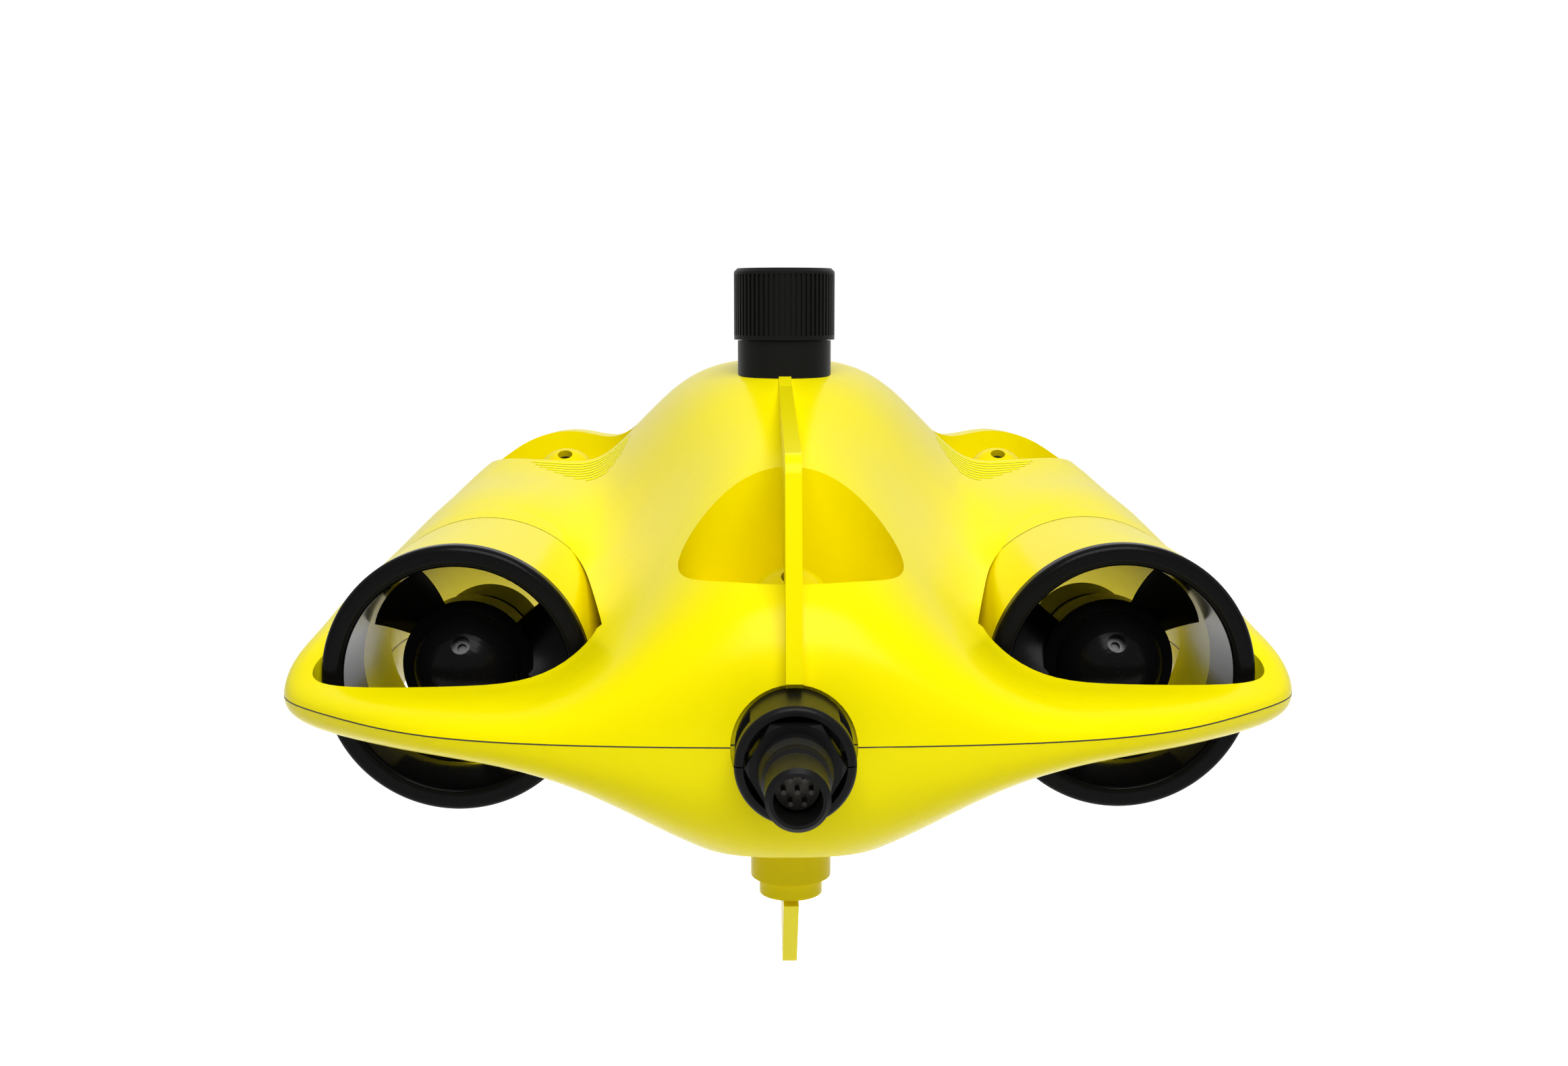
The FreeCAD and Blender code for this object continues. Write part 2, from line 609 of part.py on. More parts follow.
# ---- vertical thrusters -----------------------------------------------------
def vertical_pod(duct_r, length, strut_rise, step):
    """Motor can that stands on z = 0, with three struts out to its duct."""
    neck, round_end = 1.9, 4.0
    if step:
        profile = [(0, 0), (VERT_POD_R - neck, 0), (VERT_POD_R - neck, step), (VERT_POD_R, step)]
    else:
        profile = [(0, 0), (VERT_POD_R * 0.6, 0), (VERT_POD_R, round_end)]
    pod = turned(profile + [(VERT_POD_R, length), (0, length)])
    strut_height = 6.0
    for i in range(3):
        strut = block(VERT_POD_R - 1, duct_r + 2, -STRUT_T / 2, STRUT_T / 2, strut_rise,
                      strut_rise + strut_height)
        strut.rotate(V(0, 0, 0), Z_AXIS, 30 + 120 * i)
        pod = pod.fuse(strut.common(rod_z(0, 0, duct_r, 0, length)))
    return pod.cut(rod_z(0, 0, SHAFT_R + SHAFT_FIT, length - SHAFT_REACH - 1, length + 1))


def vertical_thruster(place, duct_r, hub_top, pod_bottom, strut_z, step):
    """Pod on three struts with a propeller above it, in a duct of the hull.

    Gives the pod, the propeller, its hub screw and its shaft.
    """
    hub_base = hub_top - VERT_HUB_HEIGHT
    pod_top = hub_base - SPIN_GAP
    pod = vertical_pod(duct_r, pod_top - pod_bottom, strut_z - pod_bottom, step)
    pod.translate(place + Z_AXIS * pod_bottom)

    sphere_z = VERT_HUB_HEIGHT - VERT_DOME_R
    profile = dome_profile(VERT_HUB_R, VERT_COLLAR, VERT_DOME_R, sphere_z)
    prop = propeller(profile, VERT_HUB_R, VERT_BLADE_Z, duct_r - VERT_BLADE_GAP, VERT_CHORD,
                     VERT_PITCH, 1, VERT_PHASE)
    lean = 270
    prop = prop.cut([nose_hole(VERT_DOME_R, sphere_z, lean, HOLE_R, HOLE_DEPTH, -HOLE_DEPTH),
                     Part.makeCylinder(SHAFT_R, SHAFT_SEAT, V(0, 0, 0), Z_AXIS)])
    prop.translate(place + Z_AXIS * hub_base)
    screw = grub_screw(VERT_DOME_R, sphere_z, lean)
    screw.translate(place + Z_AXIS * hub_base)
    shaft = rod_z(place.x, place.y, SHAFT_R, pod_top - SHAFT_REACH, hub_base + SHAFT_SEAT)
    return (("motor_pod", pod), ("propeller", prop), ("hub_screw", screw), ("shaft", shaft))


def vertical_thrusters():
    front = vertical_thruster(V(FRONT_X, FRONT_Y, 0), FRONT_DUCT_R, FRONT_HUB_TOP_Z,
                              FRONT_POD_BOTTOM_Z, FRONT_STRUT_Z, 0)
    for name, shape in front:
        keep_pair(name + "_front", shape, 1)
    tail = vertical_thruster(V(0, TAIL_Y, 0), TAIL_DUCT_R, TAIL_HUB_TOP_Z, TAIL_POD_BOTTOM_Z,
                             TAIL_STRUT_Z, TAIL_POD_STEP)
    for name, shape in tail:
        keep(name + "_tail", shape)


# ---- fins -------------------------------------------------------------------
def plate(outline):
    """Flat plate on the symmetry plane from (y, z) points."""
    points = [V(-FIN_THICKNESS / 2, y, z) for y, z in outline]
    face = Part.Face(Part.makePolygon(points + [points[0]]))
    return face.extrude(V(FIN_THICKNESS, 0, 0))


def rounded_plate(outline, corner, radius):
    """Plate with the corner nearest to one (y, z) point rounded."""
    fin = plate(outline)
    near = V(0, corner[0], corner[1])
    edges = [e for e in fin.Edges if abs(e.BoundBox.XLength - FIN_THICKNESS) < 0.01
             and e.CenterOfMass.distanceToPoint(near) < 0.1]
    return fin.makeFillet(radius, edges)


def fins(outer, ways):
    hull = outer.cut(ways)
    hub_gap = 2.0
    hub_room = rod_z(0, TAIL_Y, VERT_HUB_R + hub_gap, -80, TAIL_HUB_TOP_Z + hub_gap)
    sweep_top = TAIL_HUB_TOP_Z - VERT_HUB_HEIGHT + VERT_BLADE_Z + VERT_CHORD / 2 + hub_gap
    blade_room = rod_z(0, TAIL_Y, TAIL_DUCT_R + 0.01, -80, sweep_top)
    port_y = PORT_Y - NECK_R - SEAT
    top_rear = (FIN_REAR_Y, FIN_TOP_REAR_Z)
    dorsal = rounded_plate([(port_y, FIN_TOP_FRONT_Z + 2), (70, FIN_TOP_FRONT_Z), top_rear,
                            (FIN_FOOT_Y, CONN_Z + CONN_RECESS_R + 1), (FIN_REAR_Y, 0), (70, 0),
                            (port_y, 40)], top_rear, FIN_CORNER_R)
    recess = rod_y(0, CONN_Z, CONN_RECESS_R, -80, 0)
    dorsal = dorsal.cut([hull, hub_room, blade_room, recess])
    keep("dorsal_fin", max(dorsal.Solids, key=lambda s: s.Volume))

    pod_gap = 1.0
    pod_room = rod_z(0, TAIL_Y, VERT_POD_R + pod_gap, TAIL_POD_BOTTOM_Z - pod_gap, 60)
    toe = (5, KEEL_BOTTOM_Z)
    keel = rounded_plate([(-47, CONN_Z), (FIN_FOOT_Y + 4, -17), (FIN_REAR_Y, -26), toe,
                          (33, KEEL_BOTTOM_Z), (37, KEEL_BOTTOM_Z + 3), (62, -30), (30, -20),
                          (-20, -5)], toe, KEEL_CORNER_R)
    duct_room = rod_z(0, TAIL_Y, TAIL_DUCT_R + 0.01, -41, 60)
    keel = keel.cut([hull, pod_room, duct_room, recess])
    keep("keel_fin", max(keel.Solids, key=lambda s: s.Volume))


# ---- top port ---------------------------------------------------------------
def top_port():
    shoulder = CAP_BOTTOM_Z - SEAT
    neck = rod_z(0, PORT_Y, NECK_R, NECK_BASE_Z, shoulder)
    neck = neck.fuse(rod_z(0, PORT_Y, THREAD_R, shoulder, THREAD_TOP_Z))
    keep("port_neck", neck.cut(rod_z(0, PORT_Y, PORT_BORE_R, NECK_BASE_Z + 4, 100)))

    roof = CAP_TOP_Z - CAP_ROOF
    stem_top = roof + CAP_ROOF * 0.55
    cap = rod_z(0, PORT_Y, CAP_R, CAP_BOTTOM_Z, CAP_TOP_Z)
    top_edge = [e for e in cap.Edges if abs(e.BoundBox.ZMin - CAP_TOP_Z) < 0.01]
    cap = cap.makeChamfer(CAP_EDGE, top_edge)
    half, low, high = KNURL_WIDTH / 2, CAP_BOTTOM_Z + 1.2, CAP_TOP_Z - CAP_EDGE - 0.7
    grooves = []
    for i in range(KNURL_COUNT):
        groove = block(-half, half, CAP_R - KNURL_DEPTH, CAP_R + 1, low, high)
        groove.rotate(V(0, 0, 0), Z_AXIS, 360.0 / KNURL_COUNT * i)
        groove.translate(V(0, PORT_Y, 0))
        grooves.append(groove)
    cap = cap.cut([rod_z(0, PORT_Y, THREAD_R + THREAD_FIT, 60, roof),
                   rod_z(0, PORT_Y, PLUG_STEM_R + SHAFT_FIT, 60, stem_top)] + grooves)
    keep("port_cap", cap)

    plug_r = PORT_BORE_R - THREAD_FIT
    plug_top, gland_z = THREAD_TOP_Z - 1, THREAD_TOP_Z - 6
    plug = rod_z(0, PORT_Y, plug_r, THREAD_TOP_Z - 8, plug_top)
    plug = plug.fuse(rod_z(0, PORT_Y, PLUG_STEM_R, plug_top - 3, stem_top - 0.2))
    plug = plug.fuse(rod_z(0, PORT_Y, PORT_BORE_R - 2, plug_top - 1, roof - SEAT))
    ring = rod_z(0, PORT_Y, plug_r, gland_z, gland_z + GLAND_WIDTH)
    ring = ring.cut(rod_z(0, PORT_Y, PORT_BORE_R - GLAND_DEPTH, 60, 100))
    keep("port_plug", plug.cut(ring))
    keep("port_seal", ring)


# ---- tail connector ---------------------------------------------------------
def connector_clamps():
    """Two half rings round the connector, with a slot on either side."""
    slot_x, slot_half, slot_low, slot_high = 10.2, 1.6, 1.5, 7.9
    edge_round = 1.2
    flange = rod_y(0, CONN_Z, CONN_FLANGE_R, CONN_FLANGE_REAR_Y, CONN_SEAT_Y)
    rear_edge = [e for e in flange.Edges if abs(e.BoundBox.YMax - CONN_FLANGE_REAR_Y) < 0.01]
    flange = flange.makeFillet(edge_round, rear_edge)
    flange = flange.cut([rod_y(0, CONN_Z, CLAMP_BORE_R, -80, CONN_FLANGE_REAR_Y + CONN_NUT_LENGTH),
                         rod_y(0, CONN_Z, CONN_BODY_R, -80, 0)])
    slots = []
    for side in (-1, 1):
        slots.append(block(side * slot_x - slot_half, side * slot_x + slot_half,
                           CONN_FLANGE_REAR_Y + 4, CONN_SEAT_Y - 3,
                           CONN_Z + slot_low, CONN_Z + slot_high))
    flange = flange.cut(slots)
    reach = 30
    keep("connector_clamp_upper",
         flange.common(block(-reach, reach, -90, 0, CONN_Z + CLAMP_SPLIT, CONN_Z + reach)))
    keep("connector_clamp_lower",
         flange.common(block(-reach, reach, -90, 0, CONN_Z - reach, CONN_Z - CLAMP_SPLIT)))


def connector_nut():
    start, edge = CONN_FLANGE_REAR_Y - 1.5, 0.9
    corners = []
    for i in range(7):
        angle = math.radians(60 * i)
        corners.append(V(CONN_NUT_R * math.cos(angle), 0, CONN_NUT_R * math.sin(angle)))
    nut = Part.Face(Part.makePolygon(corners)).extrude(V(0, CONN_NUT_LENGTH, 0))
    nut.translate(V(0, start, CONN_Z))
    round_bar = rod_y(0, CONN_Z, CONN_NUT_R, start, start + CONN_NUT_LENGTH)
    rear_edge = [e for e in round_bar.Edges if abs(e.BoundBox.YMax - start) < 0.01]
    nut = nut.common(round_bar.makeChamfer(edge, rear_edge))
    keep("connector_nut", nut.cut(rod_y(0, CONN_Z, CONN_BODY_R, -90, 0)))


def connector_plug():
    """Body with a bored nose, and the pins on their insert inside the bore."""
    length = CONN_END_Y - CONN_NOSE_REAR_Y
    waist_r, edge = CONN_BODY_R - 0.6, 0.8
    body = turned([(0, 0), (CONN_BODY_R, 0), (CONN_BODY_R, length - 17),
                   (waist_r, length - 14.5), (waist_r, length - 12), (CONN_NOSE_R, length - 11),
                   (CONN_NOSE_R, length - edge), (CONN_NOSE_R - edge, length), (0, length)])
    bore = Part.makeCylinder(CONN_BORE_R, CONN_BORE_DEPTH + 1, V(0, 0, length - CONN_BORE_DEPTH),
                             Z_AXIS)
    keep("connector_body", aimed_back(body.cut(bore), 0, CONN_END_Y, CONN_Z))

    floor_y = CONN_NOSE_REAR_Y + CONN_BORE_DEPTH
    insert_r, insert_t = CONN_BORE_R - SEAT, 2.4
    insert = rod_y(0, CONN_Z, insert_r, floor_y - insert_t, floor_y)
    for i in range(7):
        angle = math.radians(60 * i)
        reach = PIN_CIRCLE_R if i < 6 else 0
        insert = insert.fuse(rod_y(reach * math.cos(angle), CONN_Z + reach * math.sin(angle), PIN_R,
                                   floor_y - PIN_LENGTH, floor_y - 1))
    key = block(-0.5, 0.5, floor_y - 6, floor_y, CONN_Z + insert_r - 0.9, CONN_Z + insert_r)
    keep("connector_pins", insert.fuse(key))


def tail_connector():
    connector_clamps()
    connector_nut()
    connector_plug()


# ---- nose -------------------------------------------------------------------
def nose_window(outer, face_y):
    """Bezel that closes the hull, and the camera's dome seated in it."""
    slab = block(-HULL_CLEAR, HULL_CLEAR, NOSE_CUT_Y, face_y, -90, 90)
    centre_y = NOSE_TIP_Y - DOME_R
    flange = rod_y(0, NOSE_Z, DOME_R + DOME_FLANGE, NOSE_CUT_Y, NOSE_CUT_Y + DOME_FLANGE_T)
    room = [rod_y(0, NOSE_Z, DOME_R + SHAFT_FIT, NOSE_CUT_Y - 1, 320), flange]
    for side in (-1, 1):
        room.append(rod_y(side * LAMP_X, NOSE_Z, LAMP_SHELL_R, 200, 320))
    keep("nose_bezel", outer.common(slab).cut(room))

    dome = Part.makeSphere(DOME_R, V(0, centre_y, NOSE_Z))
    skirt = rod_y(0, NOSE_Z, DOME_R, NOSE_CUT_Y, centre_y)
    ahead = block(-60, 60, NOSE_CUT_Y, 330, -60, 60)
    dome = dome.fuse(skirt).common(ahead).fuse(flange)
    hollow = Part.makeSphere(DOME_R - DOME_WALL, V(0, centre_y, NOSE_Z))
    hollow = hollow.fuse(rod_y(0, NOSE_Z, DOME_R - DOME_WALL, NOSE_CUT_Y - 5, centre_y))
    keep("dome_window", dome.cut(hollow))


def camera():
    back_y = TUBE_FRONT_Y + CAP_FLANGE_T
    lens_r, lens_y, length, crown_r = 6.5, 26, 34, 14
    barrel = turned([(0, 0), (13, 0), (13, 3), (10.5, 5), (10.5, 30), (8.5, length), (0, length)])
    barrel.rotate(V(0, 0, 0), X_AXIS, -90)
    barrel.translate(V(0, back_y, NOSE_Z))
    keep("camera_barrel", barrel.cut(rod_y(0, NOSE_Z, lens_r, back_y + lens_y, back_y + 40)))
    lens = rod_y(0, NOSE_Z, lens_r, back_y + lens_y, back_y + length - 1)
    crown = Part.makeSphere(crown_r, V(0, back_y + length + 1 - crown_r, NOSE_Z))
    keep("camera_lens", lens.common(crown))


def lamps(face_y):
    depth, chip_t, lens_t = 8, 0.8, 2.0
    for side, name in ((-1, "left"), (1, "right")):
        x = side * LAMP_X
        shell = rod_y(x, NOSE_Z, LAMP_SHELL_R, NOSE_CUT_Y - 2, face_y)
        bowl = turned([(0, 0), (LED_HALF + 0.9, 0), (LAMP_R, 6), (LAMP_R, 12), (0, 12)])
        bowl.rotate(V(0, 0, 0), X_AXIS, -90)
        bowl.translate(V(x, face_y - depth, NOSE_Z))
        keep("lamp_reflector_" + name, shell.cut(bowl))
        chip = block(x - LED_HALF, x + LED_HALF, face_y - depth, face_y - depth + chip_t,
                     NOSE_Z - LED_HALF, NOSE_Z + LED_HALF)
        keep("lamp_led_" + name, chip)
        keep("lamp_lens_" + name, rod_y(x, NOSE_Z, LAMP_R, face_y - lens_t, face_y))


def nose(outer):
    face_y = NOSE_CUT_Y + BEZEL_LENGTH
    nose_window(outer, face_y)
    camera()
    lamps(face_y)


# ---- electronics inside -----------------------------------------------------
def pressure_tube():
    tube = rod_y(0, TUBE_Z, TUBE_R, TUBE_REAR_Y, TUBE_FRONT_Y)
    bore_r = TUBE_R - TUBE_WALL
    keep("pressure_tube", tube.cut(rod_y(0, TUBE_Z, bore_r, 0, 300)))
    for name, end_y, outward in (("rear", TUBE_REAR_Y, -1), ("front", TUBE_FRONT_Y, 1)):
        flange_y, spigot_y = end_y + outward * CAP_FLANGE_T, end_y - outward * CAP_SPIGOT
        cap = rod_y(0, TUBE_Z, TUBE_R, min(end_y, flange_y), max(end_y, flange_y))
        cap = cap.fuse(rod_y(0, TUBE_Z, bore_r - SHAFT_FIT, min(end_y, spigot_y),
                             max(end_y, spigot_y)))
        keep("tube_cap_" + name, cap)


def battery_and_board():
    tray_z = TUBE_Z - 2.0
    start = TUBE_REAR_Y + TUBE_END_ROOM
    length = 2 * CELL_LENGTH + CELL_SPACING
    cell_drop = math.sqrt((TUBE_R - TUBE_WALL - CELL_R - CELL_GAP) ** 2 - CELL_X ** 2)
    cell_z = TUBE_Z - cell_drop
    wrap_half = 17
    cells = []
    for cell_y in (start, start + CELL_LENGTH + CELL_SPACING):
        for x in (-CELL_X, CELL_X):
            cells.append(rod_y(x, cell_z, CELL_R, cell_y, cell_y + CELL_LENGTH))
    wrap = block(-wrap_half, wrap_half, start, start + length, cell_z, tray_z)
    keep("battery_pack", wrap.fuse(cells))

    board_top = tray_z + BOARD_T
    board = block(-BOARD_HALF, BOARD_HALF, start, start + length, tray_z, board_top)
    fittings = []
    for k in range(5):
        chip_y = start + 12 + 22 * k
        fittings.append(block(-12, -2, chip_y, chip_y + 10, board_top, board_top + 1.6))
    for k in range(4):
        fittings.append(rod_z(10, start + 18 + 24 * k, 4.5, board_top, board_top + 6.4))
    keep("control_board", board.fuse(fittings))


def cradles_and_ballast(upper_void, lower_void):
    tube = rod_y(0, TUBE_Z, TUBE_R, 0, 300)
    cradle_top = TUBE_Z - 8
    void = lower_void.fuse(upper_void)
    for name, y in zip(("rear", "front"), CRADLE_YS):
        slab = block(-CRADLE_HALF, CRADLE_HALF, y, y + CRADLE_T, -80, cradle_top)
        keep("tube_cradle_" + name, slab.common(void).cut(tube))
    start, end = BALLAST_YS
    bar = block(-BALLAST_HALF, BALLAST_HALF, start, end, -60, BALLAST_TOP_Z)
    keep("ballast_weight", bar.common(lower_void))


def belly_insert():
    insert = rod_z(0, INSERT_Y, INSERT_R, BELLY_FLAT_Z, BELLY_FLAT_Z + INSERT_DEPTH)
    keep("belly_insert", insert.cut(rod_z(0, INSERT_Y, INSERT_THREAD_R, -60,
                                          BELLY_FLAT_Z + INSERT_DEPTH - 1)))


def hull_screws():
    head_fit, socket_depth = 0.1, 1.4
    head_end = SCREW_HEAD_Z - SCREW_HEAD_T
    screws = []
    for x, y in SCREW_PLACES:
        head = rod_z(x, y, SCREW_HEAD_R - head_fit, head_end, SCREW_HEAD_Z)
        shank = rod_z(x, y, SCREW_R, SCREW_HEAD_Z, SCREW_TOP_Z)
        socket = rod_z(x, y, SCREW_SOCKET_R, head_end - 1, head_end + socket_depth)
        screws.append(head.fuse(shank).cut(socket))
    keep("hull_screws", Part.makeCompound(screws))


def build():
    upper_shell, lower_shell, upper_void, lower_void, outer, ways = hull_shells()
    keep("upper_shell", upper_shell)
    keep("lower_shell", lower_shell)
    rear_thrusters()
    vertical_thrusters()
    fins(outer, ways)
    top_port()
    tail_connector()
    nose(outer)
    pressure_tube()
    battery_and_board()
    cradles_and_ballast(upper_void, lower_void)
    belly_insert()
    hull_screws()


def export():
    centre = V(0, -(NOSE_TIP_Y + CONN_NOSE_REAR_Y) / 2, -(CAP_TOP_Z + KEEL_BOTTOM_Z) / 2)
    os.makedirs("parts", exist_ok=True)
    for name, shape in PARTS.items():
        placed = shape.copy()
        placed.translate(centre)
        placed.exportStep("parts/" + name + ".step")


build()
export()
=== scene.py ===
"""Finish of the underwater inspection vehicle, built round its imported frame."""
import json
import math
import bmesh
import bpy
from mathutils import Matrix, Vector
from mathutils.bvhtree import BVHTree


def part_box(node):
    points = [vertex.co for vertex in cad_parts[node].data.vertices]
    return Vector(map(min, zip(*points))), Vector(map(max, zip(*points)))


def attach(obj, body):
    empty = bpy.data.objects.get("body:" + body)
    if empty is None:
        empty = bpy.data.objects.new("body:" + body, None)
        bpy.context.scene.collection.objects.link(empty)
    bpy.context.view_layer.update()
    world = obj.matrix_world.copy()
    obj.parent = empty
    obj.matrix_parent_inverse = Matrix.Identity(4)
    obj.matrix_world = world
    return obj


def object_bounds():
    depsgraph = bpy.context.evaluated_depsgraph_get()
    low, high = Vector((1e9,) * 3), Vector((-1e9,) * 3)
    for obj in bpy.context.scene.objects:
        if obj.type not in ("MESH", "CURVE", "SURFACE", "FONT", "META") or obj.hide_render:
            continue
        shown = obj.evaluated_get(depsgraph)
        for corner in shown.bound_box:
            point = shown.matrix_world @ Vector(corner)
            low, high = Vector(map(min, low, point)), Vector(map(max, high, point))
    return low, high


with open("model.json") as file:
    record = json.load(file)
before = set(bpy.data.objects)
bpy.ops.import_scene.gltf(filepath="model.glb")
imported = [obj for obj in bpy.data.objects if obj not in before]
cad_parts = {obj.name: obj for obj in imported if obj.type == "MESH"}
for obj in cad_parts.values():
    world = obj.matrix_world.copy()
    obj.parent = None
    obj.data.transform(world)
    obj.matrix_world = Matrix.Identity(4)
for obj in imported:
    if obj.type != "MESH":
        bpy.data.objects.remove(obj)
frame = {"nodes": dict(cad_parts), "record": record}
cad_low, cad_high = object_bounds()
MM = 0.001
AHEAD = (0, 1, 0)

# ---- places taken from the frame -------------------------------------------
SEAM_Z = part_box("upper_shell")[0].z
RING_LOW, RING_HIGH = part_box("duct_ring_right")
SHROUD_FRONT_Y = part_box("rear_shroud_right")[1].y
DUCT_X = (RING_LOW.x + RING_HIGH.x) / 2
DUCT_Z = (RING_LOW.z + RING_HIGH.z) / 2
SHROUD_R = (RING_HIGH.x - RING_LOW.x) / 2
DOME_Z = sum(corner.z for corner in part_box("dome_window")) / 2
DOME_R = 25 * MM
BEZEL_FRONT_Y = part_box("nose_bezel")[1].y
BARREL_FRONT_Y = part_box("camera_barrel")[1].y

# ---- finishes: colours are linear -------------------------------------------
HULL_YELLOW = (1.0, 0.87, 0.0, 1.0)
THRUSTER_YELLOW = (0.97, 0.81, 0.0, 1.0)
# painted light: the louver vanes' brighter, more saturated yellow stands in for light bounced inside
# the slits
VANE_PAINTED_GLOW = (1.0, 0.95, 0.0, 1.0)
GLOSS_BLACK = (0.004, 0.004, 0.0044, 1.0)
POD_BLACK = (0.007, 0.007, 0.007, 1.0)
SATIN_BLACK = (0.005, 0.005, 0.005, 1.0)


# ---- shader groups ----------------------------------------------------------
def new_group(name, inputs, outputs):
    group = bpy.data.node_groups.new(name, "ShaderNodeTree")
    for label, kind, value in inputs:
        socket = group.interface.new_socket(label, in_out="INPUT", socket_type=kind)
        socket.default_value = value
    for label, kind in outputs:
        group.interface.new_socket(label, in_out="OUTPUT", socket_type=kind)
    entry = group.nodes.new("NodeGroupInput")
    leave = group.nodes.new("NodeGroupOutput")
    return group, entry, leave


def moulded_skin_group():
    """Slow colour drift, uneven gloss and the faint orange peel of a moulding."""
    inputs = [("Colour", "NodeSocketColor", (1, 1, 1, 1)), ("Drift", "NodeSocketFloat", 0.04),
              ("Roughness", "NodeSocketFloat", 0.3), ("Unevenness", "NodeSocketFloat", 0.05),
              ("Grain", "NodeSocketFloat", 900.0), ("Relief", "NodeSocketFloat", 0.02)]
    outputs = [("Colour", "NodeSocketColor"), ("Roughness", "NodeSocketFloat"),
               ("Normal", "NodeSocketVector")]
    group, entry, leave = new_group("moulded_skin", inputs, outputs)
    nodes, links = group.nodes, group.links
    place = nodes.new("ShaderNodeTexCoord")
    slow = nodes.new("ShaderNodeTexNoise")
    slow.inputs["Scale"].default_value = 22.0
    slow.inputs["Detail"].default_value = 3.0
    links.new(place.outputs["Object"], slow.inputs["Vector"])
    shade = nodes.new("ShaderNodeMix")
    shade.data_type = "RGBA"
    shade.blend_type = "MULTIPLY"
    shade.inputs["B"].default_value = (0.86, 0.84, 0.80, 1)
    mask = nodes.new("ShaderNodeMath")
    mask.operation = "MULTIPLY"
    links.new(slow.outputs["Fac"], mask.inputs[0])
    links.new(entry.outputs["Drift"], mask.inputs[1])
    links.new(mask.outputs[0], shade.inputs["Factor"])
    links.new(entry.outputs["Colour"], shade.inputs["A"])
    links.new(shade.outputs["Result"], leave.inputs["Colour"])
    spread = nodes.new("ShaderNodeMath")
    spread.operation = "MULTIPLY_ADD"
    links.new(slow.outputs["Fac"], spread.inputs[0])
    links.new(entry.outputs["Unevenness"], spread.inputs[1])
    links.new(entry.outputs["Roughness"], spread.inputs[2])
    links.new(spread.outputs[0], leave.inputs["Roughness"])
    peel = nodes.new("ShaderNodeTexNoise")
    peel.inputs["Detail"].default_value = 2.0
    links.new(entry.outputs["Grain"], peel.inputs["Scale"])
    links.new(place.outputs["Object"], peel.inputs["Vector"])
    bump = nodes.new("ShaderNodeBump")
    bump.inputs["Distance"].default_value = 0.0004
    links.new(entry.outputs["Relief"], bump.inputs["Strength"])
    links.new(peel.outputs["Fac"], bump.inputs["Height"])
    links.new(bump.outputs["Normal"], leave.inputs["Normal"])
    return group


def turned_metal_group():
    """Fine lathe or brush lines that run across the Z axis."""
    inputs = [("Colour", "NodeSocketColor", (1, 1, 1, 1)), ("Roughness", "NodeSocketFloat", 0.3),
              ("Stretch", "NodeSocketVector", (200, 200, 4000))]
    outputs = [("Colour", "NodeSocketColor"), ("Roughness", "NodeSocketFloat"),
               ("Normal", "NodeSocketVector")]
    group, entry, leave = new_group("turned_metal", inputs, outputs)
    nodes, links = group.nodes, group.links
    place = nodes.new("ShaderNodeTexCoord")
    stretch = nodes.new("ShaderNodeVectorMath")
    stretch.operation = "MULTIPLY"
    links.new(place.outputs["Object"], stretch.inputs[0])
    links.new(entry.outputs["Stretch"], stretch.inputs[1])
    lines = nodes.new("ShaderNodeTexNoise")
    lines.inputs["Scale"].default_value = 1.0
    lines.inputs["Detail"].default_value = 4.0
    links.new(stretch.outputs[0], lines.inputs["Vector"])
    tone = nodes.new("ShaderNodeMix")
    tone.data_type = "RGBA"
    tone.blend_type = "MULTIPLY"
    tone.inputs["B"].default_value = (0.72, 0.72, 0.72, 1)
    links.new(lines.outputs["Fac"], tone.inputs["Factor"])
    links.new(entry.outputs["Colour"], tone.inputs["A"])
    links.new(tone.outputs["Result"], leave.inputs["Colour"])
    gloss = nodes.new("ShaderNodeMath")
    gloss.operation = "MULTIPLY_ADD"
    gloss.inputs[1].default_value = 0.18
    links.new(lines.outputs["Fac"], gloss.inputs[0])
    links.new(entry.outputs["Roughness"], gloss.inputs[2])
    links.new(gloss.outputs[0], leave.inputs["Roughness"])
    bump = nodes.new("ShaderNodeBump")
    bump.inputs["Distance"].default_value = 0.0001
    bump.inputs["Strength"].default_value = 0.25
    links.new(lines.outputs["Fac"], bump.inputs["Height"])
    links.new(bump.outputs["Normal"], leave.inputs["Normal"])
    return group


MOULDED_SKIN = moulded_skin_group()
TURNED_METAL = turned_metal_group()


def finish_material(name, group, settings, metallic=0.0, specular=0.5):
    """Principled material fed by one of the shader groups."""
    material = bpy.data.materials.new(name)
    material.use_nodes = True
    nodes, links = material.node_tree.nodes, material.node_tree.links
    shader = nodes["Principled BSDF"]
    skin = nodes.new("ShaderNodeGroup")
    skin.node_tree = group
    for label, value in settings.items():
        skin.inputs[label].default_value = value
    links.new(skin.outputs["Colour"], shader.inputs["Base Color"])
    links.new(skin.outputs["Roughness"], shader.inputs["Roughness"])
    links.new(skin.outputs["Normal"], shader.inputs["Normal"])
    shader.inputs["Metallic"].default_value = metallic
    shader.inputs["Specular IOR Level"].default_value = specular
    return material


def moulded(name, colour, roughness, drift=0.06, unevenness=0.05, grain=900.0, relief=0.03,
            specular=0.5):
    """Plastic, rubber or coated finish with the moulded skin."""
    settings = {"Colour": colour, "Roughness": roughness, "Drift": drift,
                "Unevenness": unevenness, "Grain": grain, "Relief": relief}
    return finish_material(name, MOULDED_SKIN, settings, specular=specular)


def turned_metal(name, colour, roughness, stretch=(200, 200, 4000)):
    """Bare or anodised metal with fine lathe lines."""
    settings = {"Colour": colour, "Roughness": roughness, "Stretch": stretch}
    return finish_material(name, TURNED_METAL, settings, metallic=1.0)


